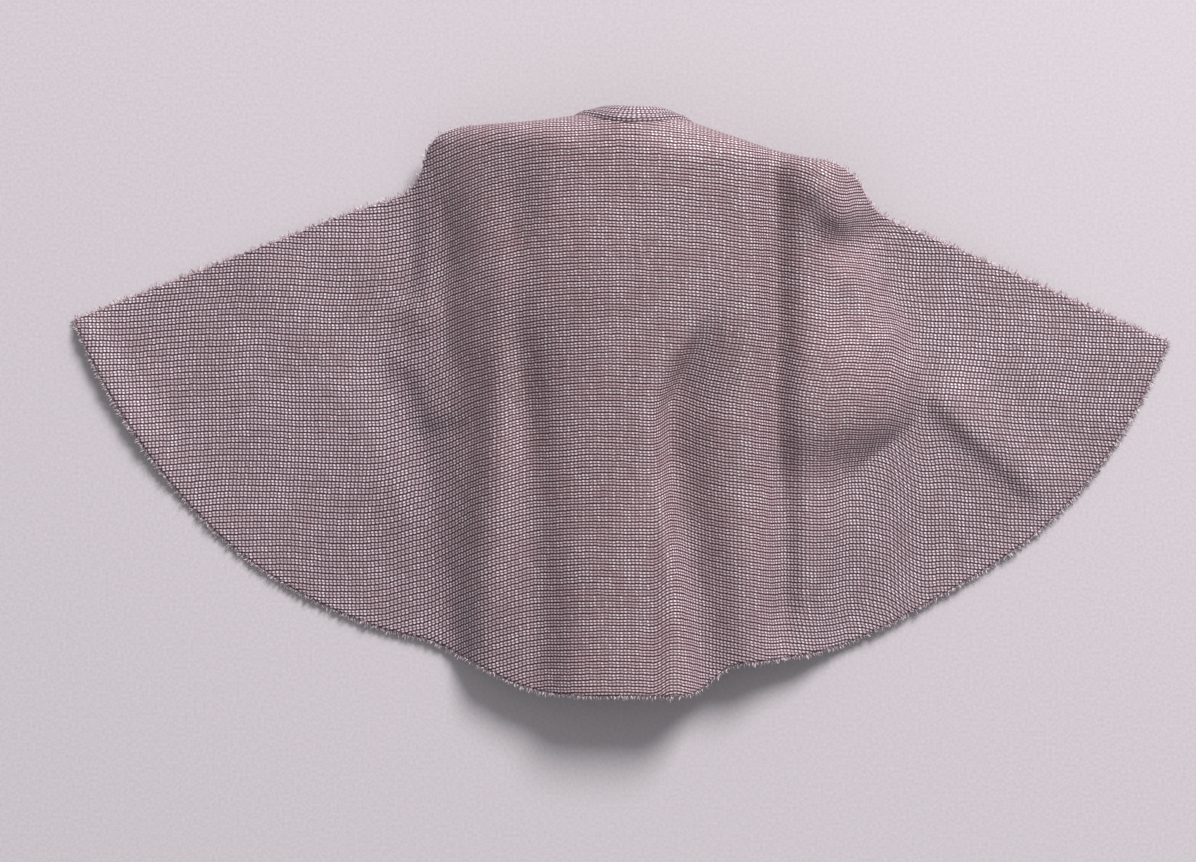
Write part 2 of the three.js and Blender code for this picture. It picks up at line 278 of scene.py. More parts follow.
def drawnIn(points):
    # raised cloth is drawn in towards the middle, so that it covers the plan's outline as seen
    # from the eye
    middle = np.array(eye["over"])
    share = 1 - points[..., 2:] / eye["height"]
    return np.concatenate([middle + (points[..., :2] - middle) * share, points[..., 2:]], axis=-1)


# Stitches are counted along the cloth itself. Rows of stitches slope, [x, degrees], with the
# cloth's lie. The count is worked out on a lattice and looked up from there.
rowSlope = [
    [-60, 4], [-34, 4], [-29, 14], [-25, 24], [-18, 14], [-10, 5], [-3, 0], [8, -5], [16, -8],
    [26, -9], [36, -5], [44, -3],
]
latticeStep = 0.4
lattice = {"x": np.arange(-84, 84.2, latticeStep), "y": np.arange(-86, 20.2, latticeStep)}
countFrom = -20  # the row that is counted as the first one is at this y
tautHeights = (2.5, 9)  # between them the cloth goes from slack to taut, and gets more of the painted shade tint


def stitchCounter():
    x, y = np.meshgrid(lattice["x"], lattice["y"])
    turn = smoothLine(shoulderLine, x) - smoothLine(shoulderRoll, x)
    height = clothHeight(x, np.minimum(y, turn))
    alongY, alongX = np.gradient(height, latticeStep)
    across = np.cumsum(np.hypot(1, alongX), axis=1) * latticeStep
    across -= across[:, [np.argmin(abs(lattice["x"]))]]
    down = np.cumsum(np.hypot(1, alongY), axis=0) * latticeStep
    down -= down[[np.argmin(abs(lattice["y"] - countFrom))], :]
    shift = np.cumsum(np.tan(np.radians(smoothLine(rowSlope, lattice["x"])))) * latticeStep
    # this height share opens the gaps of taut cloth and also sets the painted shade on the raised
    # hump
    taut = smoothStep(*tautHeights, height)
    return across / cloth["wale"], (down - shift[None, :]) / cloth["course"], taut


def onLattice(values, x, y):
    i = np.clip((x - lattice["x"][0]) / latticeStep, 0, len(lattice["x"]) - 1.001)
    j = np.clip((y - lattice["y"][0]) / latticeStep, 0, len(lattice["y"]) - 1.001)
    i0, j0 = i.astype(int), j.astype(int)
    s, t = i - i0, j - j0
    low = values[j0, i0] * (1 - s) + values[j0, i0 + 1] * s
    high = values[j0 + 1, i0] * (1 - s) + values[j0 + 1, i0 + 1] * s
    return low * (1 - t) + high * t


def neckPoint(angle, radius):
    turn = np.radians(angle)
    x = radius * np.sin(turn)
    return x, cloth["neckCentreY"] - radius * np.cos(turn)


def clothPlan(way, u, down):
    # the straightened cloth of one side: u from the centre back to the front edge, and down from
    # the neck to the hem
    front = leftFront if way < 0 else rightFront
    tipAngle = cloth["frontAngles"][0 if way < 0 else 1]
    nearX, nearY = neckPoint(way * u * cloth["neckAngle"], cloth["neckRadius"])
    angle = way * tipAngle * u ** cloth["crowding"]
    radius = smoothLine(hemRadii, angle)
    farX, farY = radius * np.sin(np.radians(angle)), -radius * np.cos(np.radians(angle))
    neck = np.array(neckPoint(way * cloth["neckAngle"], cloth["neckRadius"]))
    tip = float(smoothLine(hemRadii, way * tipAngle)) * np.array(
        [math.sin(math.radians(way * tipAngle)), -math.cos(math.radians(tipAngle))])
    edge = alongCurve(curveThrough([neck, *front, tip]), down)
    bow = edge - (neck + (tip - neck) * down[..., None])
    x = nearX + (farX - nearX) * down + bow[..., 0] * u**3
    y = nearY + (farY - nearY) * down + bow[..., 1] * u**3
    return x, y


# Materials
def newMaterial(name):
    material = bpy.data.materials.new(name)
    material.use_nodes = True
    nodes = material.node_tree.nodes
    return material, nodes, material.node_tree.links, nodes["Principled BSDF"]


def mathNode(nodes, links, operation, *inputs):
    node = nodes.new("ShaderNodeMath")
    node.operation = operation
    for socket, value in zip(node.inputs, inputs):
        if isinstance(value, (int, float)):
            socket.default_value = value
        else:
            links.new(value, socket)
    return node.outputs[0]


def colourMix(nodes, links, share, low, high, blend="MIX"):
    node = nodes.new("ShaderNodeMix")
    node.data_type = "RGBA"
    node.blend_type = blend
    for socket, value in zip((node.inputs[0], node.inputs[6], node.inputs[7]), (share, low, high)):
        if isinstance(value, (int, float, tuple)):
            socket.default_value = value
        else:
            links.new(value, socket)
    return node.outputs[2]


# Shape of one stitch, as shares of its width and of its row. A line is drawn between the two
# distances from the stitch's middle, and the crown is the part that catches the light.
stitch = {
    "rowLine": (0.28, 0.47), "middleLine": (0.16, 0.02), "columnLine": (0.18, 0.5),
    "crown": (0.8, 0.15), "crownAcross": 2.6, "crownAlong": 4.4,
    "rowWaver": (0.05, 0.9), "fineRowWaver": (0.5, 0.3), "columnWaver": (0.4, 0.35),
}


def knitGroup():
    # each row is two leaning beads of yarn high, with lines of painted shade between rows, fainter
    # ones between the two beads, and others between columns
    group = bpy.data.node_groups.new("knitStitches", "ShaderNodeTree")
    face = group.interface
    face.new_socket("Stitch count", in_out="INPUT", socket_type="NodeSocketVector")
    for name, value in (
        ("Lean", 0.35), ("Row gap", 1), ("Middle gap", 0.6), ("Column gap", 0.8),
    ):
        face.new_socket(name, in_out="INPUT", socket_type="NodeSocketFloat").default_value = value
    for name in ("Bead", "Crown", "Height", "Chance"):
        face.new_socket(name, in_out="OUTPUT", socket_type="NodeSocketFloat")
    nodes, links = group.nodes, group.links
    given, made = nodes.new("NodeGroupInput"), nodes.new("NodeGroupOutput")

    def do(operation, *inputs):
        return mathNode(nodes, links, operation, *inputs)

    def ease(value, low, high):
        node = nodes.new("ShaderNodeMapRange")
        node.interpolation_type = "SMOOTHSTEP"
        node.inputs["From Min"].default_value = low
        node.inputs["From Max"].default_value = high
        links.new(value, node.inputs["Value"])
        return node.outputs[0]

    def waver(scale, amount, shift):
        moved = nodes.new("ShaderNodeVectorMath")
        moved.inputs[1].default_value = (shift, 0, 0)
        links.new(given.outputs[0], moved.inputs[0])
        noise = nodes.new("ShaderNodeTexNoise")
        noise.inputs["Scale"].default_value = scale
        noise.inputs["Detail"].default_value = 2
        links.new(moved.outputs[0], noise.inputs["Vector"])
        return do("MULTIPLY", do("SUBTRACT", noise.outputs[0], 0.5), amount)

    apart = nodes.new("ShaderNodeSeparateXYZ")
    links.new(given.outputs[0], apart.inputs[0])
    v = do("ADD", apart.outputs[1], waver(*stitch["rowWaver"], 0))
    v = do("ADD", v, waver(*stitch["fineRowWaver"], 9))
    row = do("FLOOR", v)
    inRow = do("SUBTRACT", do("FRACT", v), 0.5)
    u = do("ADD", apart.outputs[0], do("MULTIPLY", inRow, given.outputs["Lean"]))
    u = do("ADD", u, waver(*stitch["columnWaver"], 30))
    column = do("FLOOR", u)
    inColumn = do("SUBTRACT", do("FRACT", u), 0.5)
    cell = nodes.new("ShaderNodeCombineXYZ")
    links.new(column, cell.inputs[0])
    links.new(row, cell.inputs[1])
    noise = nodes.new("ShaderNodeTexWhiteNoise")
    noise.noise_dimensions = "2D"
    links.new(cell.outputs[0], noise.inputs["Vector"])
    fromMiddle = do("ABSOLUTE", inRow)
    bead = 1.0
    for line, gap in (
        (ease(fromMiddle, *stitch["rowLine"]), "Row gap"),
        (ease(fromMiddle, *stitch["middleLine"]), "Middle gap"),
        (ease(do("ABSOLUTE", inColumn), *stitch["columnLine"]), "Column gap"),
    ):
        bead = do("MULTIPLY", bead, do("SUBTRACT", 1, do("MULTIPLY", line, given.outputs[gap])))
    a = do("MULTIPLY", inColumn, stitch["crownAcross"])
    b = do("MULTIPLY", do("SUBTRACT", fromMiddle, 0.25), stitch["crownAlong"])
    far = do("SQRT", do("ADD", do("MULTIPLY", a, a), do("MULTIPLY", b, b)))
    links.new(bead, made.inputs["Bead"])
    links.new(ease(far, *stitch["crown"]), made.inputs["Crown"])
    links.new(do("SQRT", do("MAXIMUM", bead, 0)), made.inputs["Height"])
    links.new(noise.outputs["Value"], made.inputs["Chance"])
    return group


knitStitches = knitGroup()


def knitMaterial(name, look):
    material, nodes, links, shader = newMaterial(name)
    count = nodes.new("ShaderNodeUVMap")
    count.uv_map = "stitchCount"
    knit = nodes.new("ShaderNodeGroup")
    knit.node_tree = knitStitches
    knit.inputs["Lean"].default_value = look["lean"]
    links.new(count.outputs[0], knit.inputs["Stitch count"])
    # patches of the cloth catch the light more, and so do single stitches: a painted highlight
    # in the base colour, with lower roughness there
    place = nodes.new("ShaderNodeTexCoord")

    def patchy(scale, low, high):
        noise = nodes.new("ShaderNodeTexNoise")
        noise.inputs["Scale"].default_value = scale
        noise.inputs["Detail"].default_value = 3
        links.new(place.outputs["Object"], noise.inputs["Vector"])
        spread = nodes.new("ShaderNodeMapRange")
        spread.inputs["From Min"].default_value = low
        spread.inputs["From Max"].default_value = high
        links.new(noise.outputs[0], spread.inputs["Value"])
        return spread.outputs[0]

    broad, near = patchy(*look["broadPatches"]), patchy(*look["glintPatches"])
    yarn = colourMix(nodes, links, broad, look["yarnDark"], look["yarn"])
    stretchAndShade = nodes.new("ShaderNodeAttribute")
    stretchAndShade.attribute_name = "tautnessAndShade"
    for gap in ("Middle gap", "Column gap"):
        opened = nodes.new("ShaderNodeMapRange")
        opened.inputs["To Min"].default_value, opened.inputs["To Max"].default_value = look[gap]
        links.new(stretchAndShade.outputs["Fac"], opened.inputs["Value"])
        links.new(opened.outputs[0], knit.inputs[gap])
    # painted shade: raised cloth on the hump is tinted darker and browner
    shadedRaisedYarn = colourMix(nodes, links, 1.0, yarn, look["raisedShadeTint"], "MULTIPLY")
    yarn = colourMix(nodes, links, stretchAndShade.outputs["Fac"], yarn, shadedRaisedYarn)
    patch = mathNode(nodes, links, "MULTIPLY", near, look["patchGlint"])
    single = mathNode(nodes, links, "POWER", knit.outputs["Chance"], look["glintRarity"])
    lit = mathNode(nodes, links, "ADD", patch, single)
    lit = mathNode(nodes, links, "MULTIPLY", knit.outputs["Crown"], lit)
    # painted highlight: the glint colour on the crowns of the lit stitches
    yarn = colourMix(nodes, links, lit, yarn, look["glint"])
    # the gap colour between the stitches is painted shade
    colour = colourMix(nodes, links, knit.outputs["Bead"], look["gap"], yarn)
    links.new(colour, shader.inputs["Base Color"])
    rough = nodes.new("ShaderNodeMapRange")
    rough.inputs["To Min"].default_value = look["roughness"][1]
    rough.inputs["To Max"].default_value = look["roughness"][0]
    links.new(lit, rough.inputs["Value"])
    links.new(rough.outputs[0], shader.inputs["Roughness"])
    bump = nodes.new("ShaderNodeBump")
    bump.inputs["Strength"].default_value = look["bump"]
    bump.inputs["Distance"].default_value = look["relief"] / 1000
    links.new(knit.outputs["Height"], bump.inputs["Height"])
    links.new(bump.outputs[0], shader.inputs["Normal"])
    shader.inputs["Specular IOR Level"].default_value = 0.5
    shader.inputs["Sheen Weight"].default_value = look["sheen"]
    shader.inputs["Sheen Roughness"].default_value = 0.4
    shader.inputs["Sheen Tint"].default_value = (1, 0.93, 0.95, 1)
    return material


# Pairs are for slack and taut cloth, or for the brightest and the dullest yarn
mauveKnit = knitMaterial("mauveKnit", {
    "yarn": (0.575, 0.408, 0.462, 1), "yarnDark": (0.48, 0.338, 0.383, 1),
    "glint": (1, 0.9, 0.97, 1), "gap": (0.02, 0.01, 0.013, 1),
    "raisedShadeTint": (0.99, 0.93, 0.91, 1), "Middle gap": (0.72, 0.92), "Column gap": (0.85, 0.55),
    "broadPatches": (75, 0.35, 0.65), "glintPatches": (210, 0.38, 0.68),
    "patchGlint": 0.5, "glintRarity": 2.5, "roughness": (0.3, 0.52), "relief": 0.1,
    "bump": 1.0, "sheen": 0.12, "lean": 0.35,
})


def plainMaterial(name, colour, roughness, metallic=0.0):
    # fine mottling over an even finish
    material, nodes, links, shader = newMaterial(name)
    place = nodes.new("ShaderNodeTexCoord")
    mottle = nodes.new("ShaderNodeTexNoise")
    mottle.inputs["Scale"].default_value = 2500
    mottle.inputs["Detail"].default_value = 3
    links.new(place.outputs["Object"], mottle.inputs["Vector"])
    dark = (*(c * 0.72 for c in colour), 1)
    mottled = colourMix(nodes, links, mottle.outputs[0], dark, (*colour, 1))
    links.new(mottled, shader.inputs["Base Color"])
    rough = nodes.new("ShaderNodeMapRange")
    rough.inputs["To Min"].default_value = roughness * 0.75
    rough.inputs["To Max"].default_value = roughness * 1.3
    links.new(mottle.outputs[0], rough.inputs["Value"])
    links.new(rough.outputs[0], shader.inputs["Roughness"])
    shader.inputs["Metallic"].default_value = metallic
    return material


nickel = plainMaterial("nickel", (0.62, 0.6, 0.57), 0.28, 1.0)
sewingThread = plainMaterial("sewingThread", (0.3, 0.23, 0.26), 0.6)
yarnFray = plainMaterial("yarnFray", (0.78, 0.65, 0.69), 0.55)

# Camera and light
camera = bpy.data.objects.new("camera", bpy.data.cameras.new("camera"))
bpy.context.scene.collection.objects.link(camera)
camera.location = (-0.00406, -0.00423, eye["height"] / 1000)
camera.data.sensor_width = 36
camera.data.lens = camera.data.sensor_width * eye["height"] / eye["width"]
camera.data.clip_start = 0.01
bpy.context.scene.camera = camera

studio = {
    "keyFrom": (0.45, 0.86, 0.78), "keySize": 0.5, "keyPower": 20, "fill": 0.37, "floorReach": 2,
    "floorColour": (0.665, 0.62, 0.65),
}


def addStudio():
    key = bpy.data.lights.new("keyLight", "AREA")
    key.shape = "DISK"
    key.size = studio["keySize"]
    key.energy = studio["keyPower"]
    key.color = (1, 0.97, 0.98)
    lamp = bpy.data.objects.new("keyLight", key)
    lamp.location = studio["keyFrom"]
    lamp.rotation_euler = Vector(studio["keyFrom"]).to_track_quat("Z", "Y").to_euler()
    bpy.context.scene.collection.objects.link(lamp)
    world = bpy.data.worlds.new("studio")
    world.use_nodes = True
    background = world.node_tree.nodes["Background"]
    background.inputs[0].default_value = (0.96, 0.97, 1, 1)
    background.inputs[1].default_value = studio["fill"]
    bpy.context.scene.world = world
    far = studio["floorReach"]
    floorPoints = [(-far, -far, 0), (far, -far, 0), (far, far, 0), (-far, far, 0)]
    paper = plainMaterial("paleTable", studio["floorColour"], 0.6)
    floor = newMesh("floor", floorPoints, [(0, 1, 2, 3)], paper)


addStudio()
bpy.context.scene.view_settings.view_transform = "Standard"
print("cape: camera, light and materials made")


# Cloth of one side, from the centre back to its front edge
def clothSide(name, way, across, down, taut):
    columns, rows = cloth["columns"], cloth["rows"]
    u, v = np.meshgrid(np.linspace(0, 1, columns + 1), np.linspace(0, 1, rows + 1), indexing="ij")
    x, y = clothPlan(way, u, v)
    points = toFrame(drawnIn(drape(x, y))).reshape(-1, 3)
    uv = np.stack([onLattice(across, x, y), onLattice(down, x, y)], axis=-1).reshape(-1, 2)
    faces = []
    for i in range(columns):
        for j in range(rows):
            a, b = i * (rows + 1) + j, (i + 1) * (rows + 1) + j
            faces.append((a, a + 1, b + 1, b) if way > 0 else (a, b, b + 1, a + 1))
    corners = uv[np.array(faces).ravel()]
    piece = newMesh(name, points, faces, mauveKnit, corners)
    stretchAndShade = piece.data.attributes.new("tautnessAndShade", "FLOAT", "POINT")
    stretchAndShade.data.foreach_set("value", onLattice(taut, x, y).astype(np.float32).ravel())
    solidify = piece.modifiers.new("clothThickness", "SOLIDIFY")
    solidify.thickness = cloth["thickness"] / 1000
    solidify.offset = 0
    return piece


def foldEnds(joint, reach):
    # the two ends of a bend across a fold's line, from the back towards the side
    pos, axis = np.array(joint["pos_m"]), np.array(joint["axis"])
    outwards = np.array([axis[1], -axis[0], 0])
    outwards *= math.copysign(1, outwards[0] * pos[0])
    return tuple(pos - outwards * reach / 1000), tuple(pos + outwards * reach / 1000)


# Pieces that are made by scattering one small shape along a line
def scatterTree(name, makeShape):
    # makeShape builds the shape that is set at each point, one unit long along its own Z
    tree = bpy.data.node_groups.new(name, "GeometryNodeTree")
    face = tree.interface
    face.new_socket("Geometry", in_out="INPUT", socket_type="NodeSocketGeometry")
    kinds = {"Count": "NodeSocketInt", "Seed": "NodeSocketInt", "Material": "NodeSocketMaterial"}
    for size in ("Count", "Length", "Thickness", "Unevenness", "Spread", "Seed", "Material"):
        face.new_socket(size, in_out="INPUT", socket_type=kinds.get(size, "NodeSocketFloat"))
    face.new_socket("Geometry", in_out="OUTPUT", socket_type="NodeSocketGeometry")
    nodes, links = tree.nodes, tree.links
    given, made = nodes.new("NodeGroupInput"), nodes.new("NodeGroupOutput")

    def chance(kind, low, high, seedShift):
        node = nodes.new("FunctionNodeRandomValue")
        node.data_type = kind
        first = 0 if kind == "FLOAT_VECTOR" else 2
        for socket, value in ((node.inputs[first], low), (node.inputs[first + 1], high)):
            if isinstance(value, (float, tuple)):
                socket.default_value = value
            else:
                links.new(value, socket)
        shift = mathNode(nodes, links, "ADD", given.outputs["Seed"], seedShift)
        links.new(shift, node.inputs["Seed"])
        return node.outputs[0 if kind == "FLOAT_VECTOR" else 1]

    line = nodes.new("GeometryNodeMeshToCurve")
    links.new(given.outputs["Geometry"], line.inputs[0])
    steps = nodes.new("GeometryNodeResampleCurve")
    links.new(line.outputs[0], steps.inputs["Curve"])
    links.new(given.outputs["Count"], steps.inputs["Count"])
    way = nodes.new("GeometryNodeInputNamedAttribute")
    way.data_type = "FLOAT_VECTOR"
    way.inputs["Name"].default_value = "direction"
    stray = nodes.new("ShaderNodeVectorMath")
    stray.operation = "SCALE"
    links.new(chance("FLOAT_VECTOR", (-1.0, -1.0, -1.0), (1.0, 1.0, 1.0), 1), stray.inputs[0])
    links.new(given.outputs["Spread"], stray.inputs["Scale"])
    aim = nodes.new("ShaderNodeVectorMath")
    aim.operation = "ADD"
    links.new(way.outputs[0], aim.inputs[0])
    links.new(stray.outputs[0], aim.inputs[1])
    turn = nodes.new("FunctionNodeAlignRotationToVector")
    turn.axis = "Z"
    links.new(aim.outputs[0], turn.inputs["Vector"])
    spin = nodes.new("FunctionNodeAxisAngleToRotation")
    spin.inputs["Axis"].default_value = (0, 0, 1)
    links.new(chance("FLOAT", 0.0, 2 * math.pi, 2), spin.inputs["Angle"])
    turned = nodes.new("FunctionNodeRotateRotation")
    turned.rotation_space = "LOCAL"
    links.new(turn.outputs[0], turned.inputs[0])
    links.new(spin.outputs[0], turned.inputs[1])
    shortest = mathNode(nodes, links, "SUBTRACT", 1.0, given.outputs["Unevenness"])
    longest = mathNode(nodes, links, "ADD", 1.0, given.outputs["Unevenness"])
    length = mathNode(nodes, links, "MULTIPLY", given.outputs["Length"],
                      chance("FLOAT", shortest, longest, 3))
    scale = nodes.new("ShaderNodeCombineXYZ")
    links.new(given.outputs["Thickness"], scale.inputs[0])
    links.new(given.outputs["Thickness"], scale.inputs[1])
    links.new(length, scale.inputs[2])
    laid = nodes.new("GeometryNodeInstanceOnPoints")
    links.new(steps.outputs[0], laid.inputs["Points"])
    links.new(makeShape(nodes, links), laid.inputs["Instance"])
    links.new(turned.outputs[0], laid.inputs["Rotation"])
    links.new(scale.outputs[0], laid.inputs["Scale"])
    real = nodes.new("GeometryNodeRealizeInstances")
    links.new(laid.outputs[0], real.inputs[0])
    finish = nodes.new("GeometryNodeSetMaterial")
    links.new(real.outputs[0], finish.inputs["Geometry"])
    links.new(given.outputs["Material"], finish.inputs["Material"])
    links.new(finish.outputs[0], made.inputs[0])
    return tree


def stitchShape(nodes, links):
    # a plump stitch one unit long
    ball = nodes.new("GeometryNodeMeshUVSphere")
    ball.inputs["Segments"].default_value = 8
    ball.inputs["Rings"].default_value = 6
    ball.inputs["Radius"].default_value = 0.5
    return ball.outputs[0]


def fibreShape(nodes, links):
    # a bent fibre one unit long, thinner at its tip
    bend = nodes.new("GeometryNodeCurveQuadraticBezier")
    bend.inputs["Resolution"].default_value = 3
    bend.inputs["Start"].default_value = (0, 0, -0.1)
    bend.inputs["Middle"].default_value = (0, 0, 0.5)
    bend.inputs["End"].default_value = (5, 0, 0.9)
    along = nodes.new("GeometryNodeSplineParameter")
    thin = mathNode(nodes, links, "SUBTRACT", 1.0, mathNode(
        nodes, links, "MULTIPLY", along.outputs["Factor"], 0.75))
    radius = nodes.new("GeometryNodeSetCurveRadius")
    links.new(bend.outputs[0], radius.inputs[0])
    links.new(thin, radius.inputs["Radius"])
    ring = nodes.new("GeometryNodeCurvePrimitiveCircle")
    ring.inputs["Resolution"].default_value = 3
    ring.inputs["Radius"].default_value = 0.5
    swept = nodes.new("GeometryNodeCurveToMesh")
    links.new(radius.outputs[0], swept.inputs["Curve"])
    links.new(ring.outputs[0], swept.inputs["Profile Curve"])
    swept.inputs["Fill Caps"].default_value = True
    return swept.outputs[0]


stitchTree = scatterTree("laidStitches", stitchShape)
fibreTree = scatterTree("frayedFibres", fibreShape)


def scatter(name, lines, tree, values):
    # lines: (points, directions, count) of each line, in metres; the result is one plain mesh
    parts = []
    for number, (points, directions, count) in enumerate(lines):
        mesh = bpy.data.meshes.new(name)
        edges = [(i, i + 1) for i in range(len(points) - 1)]
        mesh.from_pydata([tuple(p) for p in points], edges, [])
        way = mesh.attributes.new("direction", "FLOAT_VECTOR", "POINT")
        way.data.foreach_set("vector", np.asarray(directions, np.float32).ravel())
        guide = bpy.data.objects.new(name + "Guide", mesh)
        bpy.context.scene.collection.objects.link(guide)
        grow = guide.modifiers.new("grow", "NODES")
        grow.node_group = tree
        sockets = {i.name: i.identifier for i in tree.interface.items_tree if i.in_out == "INPUT"}
        own = {"Count": count, "Seed": values["Seed"] + 10 * number}
        for word, value in {**values, **own}.items():
            grow[sockets[word]] = value
        seen = guide.evaluated_get(bpy.context.evaluated_depsgraph_get())
        parts.append(bpy.data.meshes.new_from_object(seen))
        bpy.data.objects.remove(guide)
    whole = bmesh.new()
    for part in parts:
        whole.from_mesh(part)
    mesh = bpy.data.meshes.new(name)
    whole.to_mesh(mesh)
    whole.free()
    mesh.materials.append(values["Material"])
    if "direction" in mesh.attributes:
        mesh.attributes.remove(mesh.attributes["direction"])
    mesh.shade_smooth()
    piece = bpy.data.objects.new(name, mesh)
    bpy.context.scene.collection.objects.link(piece)
    return piece


fray = {
    "perMm": 22, "length": 0.45, "thickness": 0.035, "spread": 0.8, "unevenness": 0.8,
    "rooted": 0.12,  # how deep the fibres start inside the edge
    "clearance": 0.03,  # over the table
}


def frayedEdge(name, way):
    # loose fibres along a side's hem and front edge
    share = np.linspace(0, 1, 160)
    one = np.ones_like(share)
    lines = []
    for seed, (u, v, inU, inV) in enumerate((
        (share, one, share, 0.99 * one), (one, share, 0.985 * one, share),
    )):
        edge = toFrame(drawnIn(drape(*clothPlan(way, u, v))))
        inner = toFrame(drawnIn(drape(*clothPlan(way, inU, inV))))
        outwards = edge - inner
        outwards /= np.linalg.norm(outwards, axis=1)[:, None]
        run = np.linalg.norm(np.diff(edge, axis=0), axis=1).sum() * 1000
        roots = edge - outwards * fray["rooted"] / 1000
        lines.append((roots, outwards, int(run * fray["perMm"])))
    fuzz = scatter(name, lines, fibreTree, {
        "Length": fray["length"] / 1000, "Thickness": fray["thickness"] / 1000,
        "Spread": fray["spread"], "Unevenness": fray["unevenness"],
        "Seed": 4 + way, "Material": yarnFray,
    })
    for point in fuzz.data.vertices:  # none goes into the table
        point.co.z = max(point.co.z, fray["clearance"] / 1000)
    return fuzz


# Cloth strips that are folded double, for the neck band and the closing tab
def strip(name, path, across, widths, thicknesses, material, around=24, squareness=0.6):
    path, across = np.array(path, float), np.array(across, float)
    along = np.gradient(path, axis=0)
    along /= np.linalg.norm(along, axis=1)[:, None]
    across = across - (across * along).sum(1)[:, None] * along
    across /= np.linalg.norm(across, axis=1)[:, None]
    upright = np.cross(along, across)
    turn = np.linspace(0, 2 * np.pi, around, endpoint=False)
    c = np.sign(np.cos(turn)) * abs(np.cos(turn)) ** squareness
    s = np.sign(np.sin(turn)) * abs(np.sin(turn)) ** squareness
    rings = (
        path[:, None]
        + across[:, None] * (c * np.array(widths)[:, None] / 2)[..., None]
        + upright[:, None] * (s * np.array(thicknesses)[:, None] / 2)[..., None]
    )
    count = len(path)
    points = np.vstack([rings.reshape(-1, 3), path[:1], path[-1:]])
    run = np.concatenate([[0], np.cumsum(np.linalg.norm(np.diff(path, axis=0), axis=1))])
    girth = np.linalg.norm(np.roll(rings, -1, 1) - rings, axis=2).cumsum(1)
    girth = np.concatenate([np.zeros((count, 1)), girth], axis=1)
    girth -= girth[:, [around // 4]]
    faces, uv = [], []
    for i in range(count - 1):
        for j in range(around):
            k = (j + 1) % around
            a, b = i * around, (i + 1) * around
            faces.append((a + j, a + k, b + k, b + j))
            for m, n in ((i, j), (i, j + 1), (i + 1, j + 1), (i + 1, j)):
                uv.append((run[m] / cloth["wale"], girth[m, n] / cloth["course"]))
    for end, centre in ((0, count * around), (count - 1, count * around + 1)):
        for j in range(around):
            a, b = end * around + j, end * around + (j + 1) % around
            faces.append((b, a, centre) if end == 0 else (a, b, centre))
            uv += [(run[end] / cloth["wale"], girth[end, j] / cloth["course"])] * 3
    piece = newMesh(name, toFrame(points), faces, material, uv)
    shape = bmesh.new()
    shape.from_mesh(piece.data)
    bmesh.ops.recalc_face_normals(shape, faces=shape.faces)
    shape.to_mesh(piece.data)
    shape.free()
    return piece


band = {
    "middle": 7.3,  # radius of its middle line in the straightened cloth
    "width": 2.9, "thickness": 1.25, "endRadius": 3, "from": -204, "to": 114,
    "overSnap": 0.95,  # from the top of the ball to the band's middle
}
snapAt = (np.array(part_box("snap_ball")[0]) + np.array(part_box("snap_ball")[1])) / 2 * 1000 - nape
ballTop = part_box("snap_ball")[1].z * 1000
throatHeight = ballTop + band["overSnap"]


def bandPath(angle, radius):
    # the band's line, eased onto the snap under the throat
    x, y = neckPoint(angle, radius)
    points = drawnIn(drape(x, y))
    throat = drawnIn(drape(*neckPoint(np.array([180.0]), band["middle"])))[0]
    shift = np.array([snapAt[0], snapAt[1], throatHeight]) - throat
    share = smoothStep(70, 165, abs(angle))[:, None]
    return points + shift * share * np.where(angle[:, None] < 0, 1, 0.6)


def neckBand():
    angle = np.linspace(band["from"], band["to"], 220)
    middle = bandPath(angle, band["middle"])
    across = bandPath(angle, band["middle"] + 0.5) - bandPath(angle, band["middle"] - 0.5)
    fromThroat = np.linalg.norm(middle - middle[np.argmin(abs(angle + 180))], axis=1)
    rounded = 2 * np.sqrt(np.maximum(band["endRadius"] ** 2 - fromThroat**2, 0.002))
    inEnd = (angle < -150) & ((rounded > band["width"]) | (angle < -180))
    widths = np.where(inEnd, rounded, band["width"])
    widths = np.convolve(np.pad(widths, 2, mode="edge"), np.ones(5) / 5, mode="valid")
    blunt = smoothStep(0, 8, band["to"] - angle) * smoothStep(0, 3.5, angle - band["from"])
    thicknesses = band["thickness"] * (0.45 + 0.55 * blunt)
    thicknesses = thicknesses * (1 + 0.16 * smoothStep(-150, -180, angle))
    return strip("neckBand", middle, across, widths, thicknesses, mauveKnit)


tab = {"thickness": 0.85, "radius": 3, "rise": 1.95, "steps": 120}


def closingTab():
    low, high = (np.array(c) * 1000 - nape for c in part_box("closing_tab"))
    y, z = snapAt[1], (low[2] + high[2]) / 2
    bend, top = high[0], z + tab["rise"]
    line = curveThrough([
        [bend - 4.6, y, top], [bend - 1.8, y, top], [bend + 0.1, y, top - 0.25],
        [bend + 0.75, y, z + 1], [bend + 0.2, y, z + 0.25], [bend - 1.3, y, z], [bend - 3, y, z],
        [low[0] + 2, y, z], [low[0], y, z],
    ], tab["steps"])
    run = np.linspace(0, 1, tab["steps"])
    fromSnap = snapAt[0] - line[:, 0]
    lower = run > 0.5
    rounded = 2 * np.sqrt(np.maximum(tab["radius"] ** 2 - np.maximum(fromSnap, 0) ** 2, 0.002))
    widths = np.where(lower, rounded, 2 * tab["radius"] * (0.5 + 0.5 * smoothStep(0, 0.2, run)))
    thicknesses = tab["thickness"] * np.where(lower, 0.45 + 0.55 * smoothStep(3, 2.4, fromSnap), 1)
    across = np.tile([0, 1, 0], (tab["steps"], 1))
    return strip("closingTab", line, across, widths, thicknesses, mauveKnit)


# Press snap
snap = {
    "radius": 2.2, "holes": 4, "holeRadius": 0.3, "holesAt": 1.55, "studRadius": 0.7,
    "flange": 0.35, "bore": 0.95, "groove": 1.36,
}


